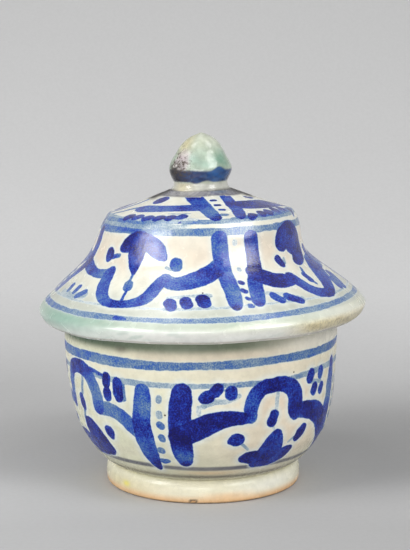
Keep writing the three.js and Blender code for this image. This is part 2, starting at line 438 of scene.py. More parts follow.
BOWL_PANEL_SIDE = [
    ("over", [(35, 31.2, 6.8, .58), (31, 34, 6.6, .62), (28, 36.6, 6.7, .6), (24.4, 38.9, 6.5, .6),
              (20, 40.2, 6.4, .58), (15, 40, 6.2, .52), (12.8, 39.4, 5, .3)]),
    ("brush", [(12.8, 40.2, 7, .72), (13.2, 43.2, 7.4, .62), (12, 47.6, 7.4, .56), (9, 52.4, 7.4, .66),
               (4.8, 55.2, 7.2, .86), (-.7, 55.8, 6.6, .96), (-6.2, 54, 6.6, .86), (-8.4, 49.4, 6, .64),
               (-10, 43, 6, .64), (-10.4, 38.4, 5.6, .8)]),
    ("over", [(-12, 38.8, 5.2, .4), (-18, 39.3, 5.6, .62), (-25, 37.5, 6, .65), (-31, 34, 6.4, .68),
              (-36, 30.5, 6.6, .6)]),
    ("line", [(3.6, 51.2, 2, .4), (1, 43.4, 2, .38)]),
    ("line", [(.5, 37.2, 1.8, .46), (-1.2, 32.4, 1.8, .46)]),
    ("brush", [(-.2, 42, 4, .86), (.2, 40.1, 4.8, .92), (.8, 38.2, 3.8, .9)]),
    ("brush", [(1, 31.2, 5.6, .95), (3.6, 29, 10, .95), (6, 25.8, 12.6, .98), (8.4, 23.2, 12, 1.0),
               (11.2, 21.8, 8.6, 1.0)]),
    ("brush", [(-12, 23.6, 6, 1.0), (-7, 22.8, 9, .95), (-2, 21.6, 9.4, .92)]),
    ("brush", [(-2, 19, 5, .9), (7, 19.5, 5, .9)]),
    ("brush", [(15.4, 31.2, 2.2, .8), (17, 30.4, 5.2, .9), (17.6, 28.6, 4, .9)]),
    ("brush", [(-14.6, 29.6, 2.6, .6), (-17.4, 30, 4.6, .85), (-18, 28.6, 3.2, .8)]),
    ("brush", [(20, 54, 4.6, .98), (19.6, 51.4, 4.5, .98)]),
    ("brush", [(19.8, 47.6, 4.7, .98), (19.7, 45.8, 4.5, .92)]),
    ("brush", [(25.7, 52.6, 4.8, .95), (25.6, 49, 5.4, .98), (26, 46.2, 4.4, .92)]),
    ("line", [(28.2, 52.3, 2.2, .45), (28.2, 46, 2.8, .45)]),
    ("line", [(9.3, 56, 2.4, .75), (13.3, 55.4, 2.4, .7), (17.4, 54.2, 2.2, .75)]),
    ("brush", [(-19, 52.8, 4.8, .9), (-19.2, 51.2, 4.8, .9)]),
    ("brush", [(-25.6, 52, 4.8, .85), (-25.4, 50.8, 4.6, .85)]),
    ("brush", [(-22.4, 46.6, 4.6, .85), (-21.8, 46, 4.4, .85)]),
]

LID_BARS = [
    ("brush", [(-6.8, 35.4, 6.6, .76), (-6, 40, 6.8, .72), (-5.2, 44.8, 6.8, .74), (-4.9, 49.6, 6.9, .7),
               (-4.3, 55.2, 6.9, .66), (-4.2, 60.4, 6.6, .62), (-4.6, 65.4, 6.2, .6),
               (-4.7, 67.4, 4.8, 1.0)]),
    ("brush", [(11.6, 35.8, 6.4, .9), (12, 40.5, 6.5, .86), (12, 45, 6.3, .9), (10.4, 51.4, 7, .95),
               (7.2, 56.6, 6.3, .7), (5.8, 60.9, 6.4, .66), (4.6, 65, 6.1, .64), (4.2, 66.4, 4.8, .82)]),
    ("line", [(2, 37.2, 2.4, .22), (2, 37.9, 2.4, .22)]),
    ("line", [(2, 43.1, 2.4, .2), (2.1, 43.7, 2.4, .2)]),
    ("line", [(2.9, 48.7, 2.2, .26), (3, 49.3, 2.2, .26)]),
    ("line", [(.9, 55.4, 2.3, .9), (1.4, 55.8, 2.3, .9)]),
    ("line", [(.4, 59.9, 2.5, .95), (1.1, 60.4, 2.5, .9)]),
    ("line", [(.6, 63.9, 1.8, .85), (1.3, 64.4, 1.8, .8)]),
    ("line", [(.2, 67.9, 2.5, .7), (1, 68, 2.5, .7)]),
]

LID_PANEL_LEFT = [
    ("over", [(43.8, 47, 7.4, .7), (41.3, 48.8, 7.6, .82), (36.5, 51.4, 7.9, .84), (31.8, 53.3, 8, .78),
              (27.2, 54.7, 7.6, .66), (22.8, 55.2, 7, .66), (18.6, 53.8, 6, .5)]),
    ("brush", [(18.2, 52.4, 4.9, .62), (15.8, 55.2, 5.5, .7), (13.6, 59.8, 6, .72), (11, 63.6, 6, .72),
               (7.6, 65.6, 4.8, .8), (3.4, 66.8, 4, .9), (-1.8, 67.2, 4, .82), (-6, 66, 4.8, .68),
               (-9.6, 62.6, 6, .66), (-12.2, 57.4, 6.6, .7), (-13.2, 52.2, 6.2, .75),
               (-12.9, 50.8, 5.4, .8)]),
    ("over", [(-13, 50.8, 5.2, .5), (-17, 52.5, 5, .62), (-23.5, 52.6, 4.6, .72), (-30, 51.4, 5, .8),
              (-37, 49.4, 5.6, .8), (-44, 47, 6, .8)]),
    ("brush", [(.3, 34.8, 4.6, .88), (-3, 35.8, 6.4, .94), (-6.9, 38, 7.2, 1.0), (-10.4, 39.6, 4.6, 1.0),
               (-12.3, 39.8, 2, 1.0)]),
    ("brush", [(.5, 35.2, 4.6, .86), (5.8, 37.2, 6.6, .82), (11, 40, 6.8, .8), (14.2, 42.2, 4.6, .8),
               (15.8, 43.4, 2.8, .8)]),
    ("brush", [(0, 37, 8.2, .9), (-.8, 41, 8.4, .94), (-.2, 44.6, 6.6, .94), (.6, 48.2, 4, .96),
               (1.2, 50.8, 1.6, .96)]),
    ("brush", [(1.2, 56.2, 4.1, .56), (1.7, 58.1, 4.4, .54)]),
    ("line", [(1.2, 52, 1.3, .6), (1.1, 55.4, 1.3, .6)]),
    ("line", [(1.9, 60, 1.4, .7), (1.6, 65, 1.4, .7)]),
    ("brush", [(-21, 42.2, 4, 1.0), (-19.8, 43.6, 5.2, 1.0), (-19.6, 44.5, 4.4, .95)]),
    ("line", [(-16.8, 44.2, 2.1, .7), (-12.2, 43.4, 2, .6)]),
    ("brush", [(22.4, 45.5, 5.2, .7), (22.9, 46.6, 5.2, .64)]),
    ("line", [(17.8, 47.2, 1.5, .28), (20.6, 48.4, 1.5, .28)]),
    ("brush", [(21.5, 65.4, 5.2, 1.0), (22, 67.1, 5, .86)]),
    ("brush", [(27.5, 64.4, 5, .92), (27.9, 66, 5, .78)]),
    ("brush", [(33.9, 63.6, 5.7, .94), (34.4, 65.3, 5.6, .78)]),
    ("line", [(19.8, 68.4, 1.8, .26), (29, 68.3, 1.6, .22), (37.5, 67.7, 1.6, .24)]),
    ("line", [(20.4, 62.8, 1.8, .22), (37, 61.6, 2.2, .24)]),
    ("brush", [(-33.7, 64.3, 3.4, .64), (-33.8, 61.8, 3.2, .66)]),
    ("brush", [(-27.6, 64.3, 3.4, .64), (-26.9, 61.7, 3.4, .66)]),
    ("brush", [(-23.4, 66.1, 3.4, .58), (-20.4, 63.4, 3.6, .54)]),
    ("line", [(-38, 66, 3, .26), (-28, 66.4, 3.4, .26), (-19, 64.8, 4, .26)]),
]

LID_PANEL_RIGHT = [
    ("over", [(-30.4, 50.6, 6, .8), (-27.1, 53.4, 8.4, .95), (-22.2, 56, 8.6, .98), (-17, 56.8, 7.4, .95),
              (-12.8, 56.6, 5.6, .75)]),
    ("brush", [(-12, 56.2, 6.4, .86), (-10, 59.6, 6.2, .8), (-8.4, 62.8, 6, .8), (-5.8, 65.2, 5.8, .86),
               (-2.2, 66.8, 5.2, .95), (1.4, 66.8, 5.2, 1.0), (4.6, 64.2, 6.6, .9), (8.2, 60, 8.6, .76),
               (12.4, 55.8, 10.4, .76), (16, 52.4, 10, .76)]),
    ("over", [(15, 54, 6.5, .5), (20, 52.4, 7.5, .64), (26, 51.4, 8, .68), (33, 49.6, 8, .7)]),
    ("brush", [(-1.4, 34.2, 5.2, .94), (-4.6, 37.2, 8.2, .95), (-6.6, 39.8, 7.4, .96)]),
    ("brush", [(.8, 34.8, 6.6, .94), (4.6, 38.4, 14.6, .95), (8.2, 42.6, 11.6, .94), (5.7, 46.6, 7.6, .95),
               (1.6, 48.9, 4.4, .95)]),
    ("brush", [(-12, 46.2, 3.8, .9), (-11, 48.4, 3.9, .95)]),
    ("line", [(-7.4, 46.4, 1.8, .3), (-8.6, 48.6, 1.6, .3)]),
    ("brush", [(21.4, 45.6, 5.6, .86), (20.2, 48.2, 4.8, .86)]),
    ("line", [(0, 52.2, 1.5, .6), (-2.6, 57, 1.6, .6), (-1.2, 61.4, 1.6, .6)]),
    ("brush", [(-2.6, 56.2, 3.4, .68), (-2.2, 59, 3.6, .7)]),
    ("brush", [(-27.6, 64.2, 4.2, .84), (-25.9, 66.3, 4.2, .8)]),
    ("brush", [(-21.8, 65.4, 4.4, .82), (-17.8, 68, 3.8, .76)]),
    ("line", [(-30, 62.4, 2.2, .24), (-24, 63.4, 2.2, .22), (-16, 67, 2.2, .24)]),
    ("brush", [(14.5, 62.6, 5, .7), (13.5, 65.8, 4.6, .7)]),
    ("brush", [(20.4, 60.8, 6.4, .7), (17.4, 65.8, 6, .7)]),
]

CROWN_BARS = [
    ("brush", [(-29, 3.4, 6.6, .95), (-21.4, 8, 7.2, .84), (-16, 12, 7, .72), (-11.4, 17.6, 6.6, .68),
               (-9, 22.4, 6.4, .68), (-7.6, 25.4, 5.4, 1.0)]),
    ("brush", [(17.3, 4.8, 5.2, .85), (14.1, 11.6, 5.6, .86), (12.6, 17.5, 5.6, .82), (10.2, 22.7, 5.4, .82),
               (8.6, 25.6, 4.6, .88)]),
    ("line", [(-4.6, 8.6, 1.8, 1.0), (-.8, 8.6, 1.8, 1.0)]),
    ("line", [(-3, 13, 1.8, 1.0), (.4, 13.1, 1.8, 1.0)]),
    ("line", [(-1.2, 17.5, 1.9, .9), (1.6, 17.6, 1.9, .9)]),
    ("line", [(-1.6, 22.6, 3, .4), (.2, 22.8, 3, .4)]),
    ("over", [(-20, 14.8, 6, .7), (-34.7, 15.4, 6, .8), (-43.6, 15.9, 6, .76), (-52.5, 16.5, 6.2, .72),
              (-62.4, 17.2, 6.8, .72), (-69.6, 17.6, 7, .78), (-73.4, 17.7, 5.6, .84)]),
    ("line", [(-76, 16.6, 2.4, .6), (-83.5, 19.6, 2.4, .56), (-88, 24, 2.2, .52), (-92, 27.4, 2, .5)]),
    ("line", [(-40.7, 20.9, .9, .4), (-32, 20.9, 1.1, .46), (-24.5, 20.6, 1, .4)]),
    ("over", [(13.6, 13.6, 6.4, .75), (22, 14.4, 7.6, .9), (34, 15.3, 8.4, .95), (48, 16.4, 8.8, .96),
              (60, 17.6, 8, .96), (70, 20.6, 5.6, .95), (73, 23.6, 3.2, .9)]),
    ("brush", [(-68.4, 10.1, 5, .98), (-67, 9, 6.2, .92), (-65.6, 7.9, 5.2, .86)]),
    ("line", [(46.7, 8.2, 1.8, .9), (51, 9.6, 2, .9), (57, 10, 1.6, .9)]),
]

# The short dashes round the crown's edge: places as (degrees, along), and the rows of one dash
DASHES_LEFT = ((-68.1, 26.4), (-60.5, 25.9), (-52, 26.1), (-44.3, 25.7), (-36.4, 25.2), (-29.6, 24.2))
DASHES_RIGHT = ((16.8, 26.1), (26, 24.9), (34, 24.4), (43.5, 23.8), (53.5, 24.1))
DASH_LEFT = [(-.6, .3, 4.5, .8), (.6, -.4, 5.2, .92)]
DASH_RIGHT = [(-1.5, 1, 3.7, .84), (1.5, -1, 4.7, .95)]

# Where the lines round the lid's shoulder were gone over, run into washes or smudged
LID_SHOULDER = [
    ("line", [(-100, 30.2, 3, .36), (-60, 30.3, 3, .34), (-25, 30.2, 2.4, .3), (-6, 30.2, .8, .2)]),
    ("line", [(-95, 28.8, 3, .3), (-55, 28.2, 3.2, .26), (-15, 26.6, 3.4, .22), (-2, 26.8, 2, .16)]),
    ("over", [(-84, 29, 2, .46), (-70, 29.1, 2.1, .48), (-51, 28.7, 2.1, .46), (-37, 29, 1.7, .4),
              (-28, 29.1, 1.2, .3)]),
    ("over", [(-82, 32.6, 1.8, .5), (-68, 32.7, 2, .52), (-51, 32.4, 2, .54), (-38, 32.6, 1.7, .5),
              (-26, 32.6, 1.3, .4)]),
    ("line", [(20, 27.4, 3, .44), (38, 26.8, 4.4, .54), (65, 26.4, 5, .58), (85, 26.6, 4, .5)]),
    ("line", [(-3.8, 27.6, 1.8, .62), (-.6, 28, 1.6, .6)]),
    ("brush", [(-78, 11, 2.6, .6), (-81, 18, 2.6, .6), (-83, 25, 2.6, .8), (-83, 29, 2.6, 1.0),
               (-79, 33, 2.2, .9)]),
    ("brush", [(79, 25.6, 2.4, .95), (76.5, 28, 3, 1.05), (75.5, 29.6, 2.2, .9)]),
    ("brush", [(-12.3, 28.5, 1, 1.2), (-11.4, 28.3, .9, 1.2)]),
]
LID_BRIM_TOUCH = [("brush", [(-2, 73.8, 2, .66), (2, 74.1, 2, .6)])]

# The broader start of the line under the bowl's lip, and a stroke beside the right bars
BOWL_LIP_LINE = [
    ("line", [(-110, 61.4, 4.4, .6), (-60, 61.7, 4.4, .6), (-44, 61.9, 4.1, .54), (-30, 61.8, 3.6, .5),
              (-18, 61.5, 3, .48)]),
]
BOWL_BAR_TOP = [("brush", [(.4, 55, 5, .9), (0, 52.4, 5.6, .76), (0, 49, 6, .7)])]


# The pieces


# Paces: the spacing of a piece's rings along its outline, in millimetres


def bowl_pace(points, lengths, fine=0.64, coarse=3.0):
    """Fine on the painted outside, coarse inside and under the base."""
    lip = lengths[np.argmax(points[:, 1])]
    outside = (lengths < lip + 3) & (points[:, 0] > UNDER_BASE - 1)
    return np.where(outside, fine, coarse)


def lid_pace(points, lengths, fine=0.68, coarse=2.7):
    """Fine on the painted outside, coarse underneath."""
    drip = lengths[np.argmin(points[:, 1])]
    outside = (lengths > drip - 6) & (points[:, 0] > UNDER_KNOB + 1)
    return np.where(outside, fine, coarse)


def even(step):
    """The same spacing everywhere."""
    return lambda points, lengths: np.full(len(points), step)


def make_bowl():
    """The bowl, and its ornament from the line under the lip down to the foot."""
    piece = Turned("bowl", sectors=560, pace=bowl_pace)
    lip = int(np.argmax(piece.rings[:, 1]))
    outside = np.array([i for i in range(lip) if piece.rings[i, 0] > UNDER_BASE])
    piece.paint_side(outside, piece.rings[outside, 1])
    paint = Paint(piece)
    paint.ring("line", 61.5, 3.4, .5, seed=11, sag=-0.1, tilt=0.7)
    paint.motif(BOWL_LIP_LINE, 0)
    paint.ring("line", 53.9, 2.4, .34, seed=14, sag=-0.8, tilt=0.2)
    for centre, jitter in ((-18, 0), (75.5, 1), (162, 1), (252, 1)):
        paint.motif(BOWL_BARS, centre, jitter)
    paint.motif(BOWL_BAR_TOP, 69.6)
    paint.motif(BOWL_PANEL_FRONT, 31)
    paint.motif(BOWL_PANEL_SIDE, -61)
    paint.motif(BOWL_PANEL_FRONT, 118, jitter=1, flip=True)
    paint.motif(BOWL_PANEL_SIDE, 207, jitter=1, flip=True)
    return piece, paint


def knob_soot(piece):
    """The dark ring left round the foot of the knob, 0 to 1."""
    near = smoothstep(5.8, 4.4, piece.along + 0.9 * ripple(piece.degrees, 0, 61))
    return near * smoothstep(-4, -2, piece.along) * piece.painted


def crown_side_darkening(piece):
    """Where the crown is made darker, out from the knob to the left and the right."""
    sides = piece.near(-84, 30) + piece.near(90, 30)
    return sides * smoothstep(12.5, 7, piece.along) * (piece.along > -2) * piece.painted


def make_lid():
    """The lid, and its ornament from the knob's seat down to the brim."""
    piece = Turned("lid_dome", sectors=560, pace=lid_pace)
    drip = int(np.argmin(piece.rings[:, 1]))
    outside = np.arange(drip, len(piece.rings))
    outside = outside[piece.rings[outside, 0] > UNDER_KNOB]
    from_seat = np.abs(piece.rings[outside] - (KNOB_SEAT_RADIUS, KNOB_SEAT)).sum(1)
    knob_edge = outside[np.argmin(from_seat)]
    piece.paint_side(outside, piece.lengths[knob_edge] - piece.lengths[outside])
    paint = Paint(piece)
    paint.ring("line", 28.0, 2.6, .36, seed=23)
    paint.ring("line", 32.8, 3.2, .44, seed=26)
    paint.motif(LID_SHOULDER, 0)
    paint.ring("line", 68.1, 1.3, .22, seed=29, wander=0.5)
    paint.ring("line", 73.3, 2.8, .43, seed=32, sag=0.8, tilt=-0.7)
    paint.motif(LID_BRIM_TOUCH, -29)
    for centre, jitter in ((17.5, 0), (97, 1), (187, 1), (274.5, 0)):
        paint.motif(LID_BARS, centre, jitter)
    paint.motif(LID_PANEL_LEFT, -33)
    paint.motif(LID_PANEL_RIGHT, 57)
    paint.motif(LID_PANEL_LEFT, 142, jitter=1, flip=True)
    paint.motif(LID_PANEL_LEFT, 232, jitter=1)
    for centre, jitter in ((17, 0), (197, 1)):
        paint.motif(CROWN_BARS, centre, jitter)
        for places, dash in ((DASHES_LEFT, DASH_LEFT), (DASHES_RIGHT, DASH_RIGHT)):
            for degrees, along in places:
                rows = [(turn, along + lift, width, tone) for turn, lift, width, tone in dash]
                paint.stroke("brush", centre + degrees, rows, jitter + 0.3)
    paint.wipe(knob_soot(piece) > 0.6)
    return piece, paint


# Glaze tints. Each gives the colour under the brush at every point of a piece, with painted light and shade
# in places.

CREAM = srgb(229, 224, 200)
FOOT_CREAM = srgb(239, 232, 206)
LID_CREAM = srgb(230, 228, 212)
PINK = srgb(232, 212, 190)
GREENISH = srgb(216, 219, 190)
KNOB_GREEN = srgb(182, 189, 168)
DEEP_GREEN = srgb(92, 146, 124)
COPPER = srgb(138, 176, 160)
COPPER_PALE = srgb(196, 206, 190)
TIN_WHITE_AND_LIGHT = srgb(252, 252, 246)
PALE_GREY = srgb(188, 193, 181)
NECK_GREY = srgb(194, 193, 184)
HALO = srgb(226, 230, 222)
STRAW = srgb(220, 204, 148)
YELLOW = srgb(240, 228, 110)
GREEN_GLAZE_AND_SHADE = srgb(98, 117, 95)
ROSE_CLAY = srgb(234, 182, 122)
ROSE_GREY = srgb(200, 182, 186)
BISCUIT = srgb(206, 170, 128)
RUST = srgb(150, 116, 70)
SMOKE = srgb(78, 68, 62)
SOOT_AND_SHADE = srgb(62, 59, 62)
RING_GREY = srgb(94, 93, 114)
SOOT_BLUE = srgb(88, 108, 134)
SOOT_DARK = srgb(28, 27, 32)
SEAM = srgb(82, 76, 70)
GREY_LINE = srgb(70, 74, 98)
NAVY = srgb(13, 35, 90)
STEEL_BLUE = srgb(54, 100, 156)
BURNT = srgb(34, 32, 33)
CRUST = srgb(74, 62, 52)
PIT = srgb(58, 44, 34)


def washed(base, *washes):
    """A base colour with (colour, strength) washes laid over it in turn."""
    tint = np.tile(np.array(base), (len(washes[0][1]), 1))
    for colour, strength in washes:
        share = np.clip(strength, 0, 1)[:, None]
        tint = tint * (1 - share) + np.array(colour) * share
    return tint


def bowl_tint(piece, paint):
    degrees, z = piece.degrees, piece.height
    outside = piece.painted
    cloud = cloudy(degrees, z, 51)
    rosy = piece.near(38, 60) + piece.near(215, 60)
    light_side = piece.near(58, 46)
    shade_side = piece.near(-55, 40)
    from_front = turn_from(degrees, 0)
    low_line = 16.8 - 0.4 * np.sin(np.radians(degrees)) + 0.25 * ripple(degrees, 0, 17)
    rosy_height = smoothstep(16, 24, z) * (1 - 0.5 * smoothstep(46, 56, z))
    rosy_lip = bump(z, 65, 5) * (1 - 0.95 * light_side) * smoothstep(-52, -14, from_front)
    return washed(
        CREAM,
        (GREENISH, 0.8 * (1 - rosy) * (0.4 + 0.6 * cloud) * (1 - smoothstep(45, 60, z))),
        (PINK, 0.75 * rosy * (0.5 + 0.5 * cloud) * rosy_height),
        (HALO, 0.6 * paint.halo(3.2)),
        (PINK, 0.35 * rosy_lip * outside),
        (GREENISH, 0.6 * bump(z, 64.5, 5) * outside * smoothstep(-14, -52, from_front)),
        # Painted shade under the brim, over a green glaze: darkest at the front and left, palest on the
        # right.
        (GREEN_GLAZE_AND_SHADE, smoothstep(64.9, 68.6, z) * outside * (0.88 - 0.8 * light_side + 0.12 * shade_side)),
        # Painted light: the wall under the brim is paler on the right, where the lamps reach under it.
        (TIN_WHITE_AND_LIGHT, 0.5 * light_side * smoothstep(60, 66, z) * outside),
        (SMOKE, 0.5 * piece.near(-33, 5) * bump(z, 67, 2.4) * outside),
        # Painted shade: the wall is darker towards the foot, where it turns under the belly.
        (SOOT_AND_SHADE, 0.22 * smoothstep(17, 12.5, z) * outside),
        (ROSE_CLAY, 0.4 * piece.near(4, 24) * bump(z, 14.4, 2) * outside),
        (GREY_LINE, 0.95 * smoothstep(1.4, 0.6, np.abs(z - low_line)) * outside * (0.75 + 0.25 * cloud)),
        (SEAM, bump(z, 12.0, 1.9) * outside * (0.75 + 0.25 * cloud)),
        (PINK, 0.5 * ~outside * cloud),
    )


def foot_tint(piece):
    degrees, z = piece.degrees, piece.height
    cloud = cloudy(degrees, z, 53)
    under = smoothstep(0.6, 0.0, z)
    inner = piece.radius < FOOT_RADIUS - 3
    chip = piece.near(-5.5, 4.2) * bump(z, 1.2, 1.3)
    return washed(
        FOOT_CREAM,
        (GREENISH, 0.55 * cloud * smoothstep(3, 7, z)),
        (STRAW, 0.5 * piece.near(-55, 40) * bump(z, 4, 5)),
        # Painted light: the foot is paler on its right side.
        (TIN_WHITE_AND_LIGHT, 0.5 * piece.near(45, 40) * bump(z, 6, 5)),
        (ROSE_CLAY, smoothstep(4.2, 0.9, z) * (0.65 + 0.35 * cloud)),
        (ROSE_CLAY, 0.5 * piece.near(14, 22) * bump(z, 3.4, 2.4)),
        (YELLOW, 0.9 * piece.near(-50, 5) * bump(z, 4.6, 2)),
        (BISCUIT, 0.9 * np.maximum(under, inner)),
        (SMOKE, 0.75 * smoothstep(0.75, 0.15, z) * ~inner),
        (SMOKE, 0.9 * smoothstep(0.15, 0.5, chip)),
        (ROSE_CLAY, 0.9 * smoothstep(0.55, 0.9, chip)),
    )


def brim_rust(piece):
    """The straw and rust coloured wear along the brim's lower right."""
    reach = smoothstep(24, 42, piece.degrees) * smoothstep(86, 70, piece.degrees)
    return reach * smoothstep(77, 80, piece.along) * smoothstep(85, 82.5, piece.along) * piece.painted


def lid_tint(piece, paint):
    degrees, along = piece.degrees, piece.along
    cloud = cloudy(degrees, along, 55)
    fleck = cloudy(degrees, along, 64, turns=(17, 23, 37, 52), waves=(9, 6, 5, 3))
    brim = smoothstep(74, 75.5, along) * piece.painted
    green_side = piece.near(-60, 50)
    soot = knob_soot(piece)
    rust = brim_rust(piece)
    return washed(
        LID_CREAM,
        (PINK, 0.75 * (0.5 + 0.5 * cloud) * bump(along, 42, 14)),
        # Painted shade: the lower flare is greyed against the light from above.
        (PALE_GREY, 0.85 * smoothstep(56, 70, along) * piece.painted),
        (HALO, 0.4 * paint.halo(3.0)),
        (RING_GREY, soot * (0.7 + 0.3 * fleck) * (1 - 0.24 * piece.near(-26, 42))),
        (SOOT_BLUE, 0.75 * soot * piece.near(36, 28) * bump(along, 0.5, 3.4)),
        (SOOT_DARK, 0.85 * soot * piece.near(78, 36)),
        (SOOT_DARK, 0.3 * soot * bump(along, 4.6, 1.4)),
        # The crown darker to its left and right, out from the knob.
        (SOOT_DARK, 1.2 * crown_side_darkening(piece)),
        # Pale green glaze over the brim, with painted light: its lower, downward face is painted whiter than
        # its top.
        (COPPER_PALE, 0.9 * brim),
        (TIN_WHITE_AND_LIGHT, brim * smoothstep(77, 80.5, along) * (0.85 + 0.15 * fleck)),
        (COPPER, brim * green_side * (0.65 + 0.35 * cloud) * (1 - 0.45 * smoothstep(80, 84, along))),
        (COPPER, 0.35 * brim * smoothstep(0.5, 0.8, fleck) * smoothstep(0.3, 0.7, cloud)),
        (COPPER, 0.6 * brim * piece.near(160, 50) * cloud),
        (TIN_WHITE_AND_LIGHT, 0.5 * brim * piece.near(60, 40)),
        (GREENISH, 0.4 * brim * piece.near(20, 30) * bump(along, 78.5, 4)),
        (STRAW, 0.3 * brim * smoothstep(20, 45, degrees) * smoothstep(100, 70, degrees) * cloud),
        (STRAW, 0.9 * rust * (0.5 + 0.5 * cloud)),
        (RUST, 0.25 * rust * smoothstep(0.5, 0.75, fleck)),
        (RUST, 0.6 * bump(along, 85, 1.3) * piece.painted * (0.4 + 0.6 * cloud)),
        (PINK, 0.5 * ~piece.painted * cloud),
    )


def knob_scorch(piece):
    """The burnt, pitted patch on the left of the knob."""
    degrees, up = piece.degrees, piece.height - KNOB_SEAT
    ragged = 0.7 + 0.3 * ripple(degrees, piece.height, 58, turns=(3, 5, 8, 11), waves=(13, 8, 5, 4))
    patch = piece.near(-46, 44) * bump(up, 10.5, 9.5)
    freckles = 0.35 * piece.near(-66, 40) * bump(up, 18, 7)
    return np.clip(2.2 * patch * ragged + freckles, 0, 1)


def knob_band(piece):
    """The blue band round the knob's belly, with a wavering edge above and below."""
    degrees, up = piece.degrees, piece.height - KNOB_SEAT
    top = 8.7 + 1.5 * piece.near(36, 18) + 0.3 * ripple(degrees, 0, 63)
    bottom = 3.8 - 0.8 * piece.near(-10, 14) + 0.6 * piece.near(14, 16)
    return smoothstep(bottom - 0.4, bottom + 0.4, up) * smoothstep(top + 0.5, top - 0.5, up)


def knob_tint(piece):
    degrees, up = piece.degrees, piece.height - KNOB_SEAT
    cloud = cloudy(degrees, piece.height, 57, waves=(17, 11, 7, 5))
    fleck = cloudy(degrees, piece.height, 66, turns=(5, 8, 11, 16), waves=(6, 4, 3, 2))
    band = knob_band(piece)
    neck = smoothstep(3.6, 2.8, up)
    patch = piece.near(-42, 30) * bump(up, 12, 8)
    return washed(
        KNOB_GREEN,
        (TIN_WHITE_AND_LIGHT, 0.25 * cloud),
        (COPPER, 0.7 * bump(up, 13, 9) * (0.35 + 0.65 * cloud)),
        (DEEP_GREEN, 0.8 * piece.near(50, 36) * bump(up, 13, 6) * (0.6 + 0.4 * fleck)),
        (STRAW, 0.6 * piece.near(-56, 45) * bump(up, 19, 6)),
        (ROSE_GREY, (0.5 + 0.45 * fleck) * smoothstep(0, 0.6, patch)),
        (NAVY, 0.96 * band),
        (STEEL_BLUE, 0.35 * band * smoothstep(0.4, 0.7, fleck)),
        (STEEL_BLUE, 0.9 * band * piece.near(28, 34) * (0.5 + 0.5 * fleck)),
        (STEEL_BLUE, 0.6 * band * piece.near(55, 30) * (0.3 + 0.7 * fleck)),
        (BURNT, 0.9 * band * piece.near(-64, 50)),
        (BURNT, piece.near(-53, 34) * bump(up, 9.6, 4.6) * smoothstep(0.2, 0.5, fleck)),
        # Painted shade: the neck under the knob's bud is greyed.
        (NECK_GREY, 0.85 * neck),
        (STRAW, 0.4 * neck * piece.near(-40, 40)),
        (SOOT_AND_SHADE, 0.6 * smoothstep(1.2, 0.2, up) * (1 - 0.85 * piece.near(-32, 46))),
    )


def collar_tint(piece):
    cloud = cloudy(piece.degrees, piece.height, 59)
    return washed(BISCUIT, (CREAM, 0.5 * cloud), (ROSE_CLAY, 0.4 * (1 - cloud)))


# Materials


class Sheet:
    """A material's node tree, with short calls for the nodes that the glazes use."""

    def __init__(self, name):
        self.material = bpy.data.materials.new(name)
        self.material.use_nodes = True
        self.tree = self.material.node_tree
        self.tree.nodes.clear()
        self.where = self.node("ShaderNodeTexCoord").outputs["Object"]

    def node(self, kind, settings=None, **inputs):
        """A new node. Inputs are numbers, colours or other nodes' sockets, with _ for a space in a name."""
        node = self.tree.nodes.new(kind)
        for key, value in (settings or {}).items():
            setattr(node, key, value)
        for key, value in inputs.items():
            self.put(node.inputs[key.replace("_", " ")], value)
        return node

    def put(self, socket, value):
        if isinstance(value, bpy.types.NodeSocket):
            self.tree.links.new(value, socket)
        else:
            socket.default_value = value

    def math(self, operation, a, b=0.0, clamp=False):
        node = self.node("ShaderNodeMath", {"operation": operation, "use_clamp": clamp})
        self.put(node.inputs[0], a)
        self.put(node.inputs[1], b)
        return node.outputs[0]

    def times(self, a, b):
        return self.math("MULTIPLY", a, b)

    def plus(self, a, b, clamp=False):
        return self.math("ADD", a, b, clamp)

    def attribute(self, name):
        return self.node("ShaderNodeAttribute", {"attribute_name": name})

    def noise(self, size_mm, detail=2.0, rough=0.5):
        """Noise of about 0 to 1 with features of this size, fixed to the piece."""
        node = self.node("ShaderNodeTexNoise", Vector=self.where, Scale=1 / (size_mm * MM), Detail=detail,
                         Roughness=rough)
        return node.outputs["Fac"]

    def ease(self, value, low, high, to_low=0.0, to_high=1.0):
        """A value between low and high, turned smoothly into one between to_low and to_high."""
        node = self.node("ShaderNodeMapRange", {"interpolation_type": "SMOOTHSTEP"}, Value=value)
        for key, number in zip(("From Min", "From Max", "To Min", "To Max"), (low, high, to_low, to_high)):
            node.inputs[key].default_value = number
        return node.outputs["Result"]

    def mix(self, share, a, b, blend="MIX"):
        """One colour passing into another."""
        node = self.node("ShaderNodeMix", {"data_type": "RGBA", "blend_type": blend})
        self.put(node.inputs[0], share)
        self.put(node.inputs[6], a)
        self.put(node.inputs[7], b)
        return node.outputs[2]

    def blend(self, share, a, b):
        """One shader passing into another."""
        node = self.node("ShaderNodeMixShader", Fac=share)
        self.put(node.inputs[1], a)
        self.put(node.inputs[2], b)
        return node.outputs["Shader"]

    def ramp(self, value, *stops):
        """A value from 0 to 1 as a colour, between (place, colour) stops."""
        node = self.node("ShaderNodeValToRGB", Fac=value)
        band = node.color_ramp
        while len(band.elements) < len(stops):
            band.elements.new(0.5)
        for element, (place, colour) in zip(band.elements, stops):
            element.position = place
            element.color = colour
        return node.outputs["Color"]


# Cobalt, from the barest wash to the heaviest load
COBALT = (
    (0.00, srgb(232, 235, 230)),
    (0.09, srgb(218, 226, 226)),
    (0.22, srgb(156, 174, 185)),
    (0.36, srgb(95, 126, 165)),
    (0.50, srgb(46, 92, 174)),
    (0.62, srgb(26, 54, 167)),
    (0.78, srgb(15, 20, 120)),
    (1.00, srgb(12, 11, 82)),
)
FULL_PIGMENT = 1.25
EDGE_WANDER = 0.9  # mm from the innermost to the outermost stray of a stroke's edge
BLEED = 0.13  # load of the faint rim round a stroke
OVERLAP = 0.12  # what crossing strokes add
PIT_SPACING = 7.5  # mm
PIT_RADIUS = 0.075  # largest, as a share of the spacing


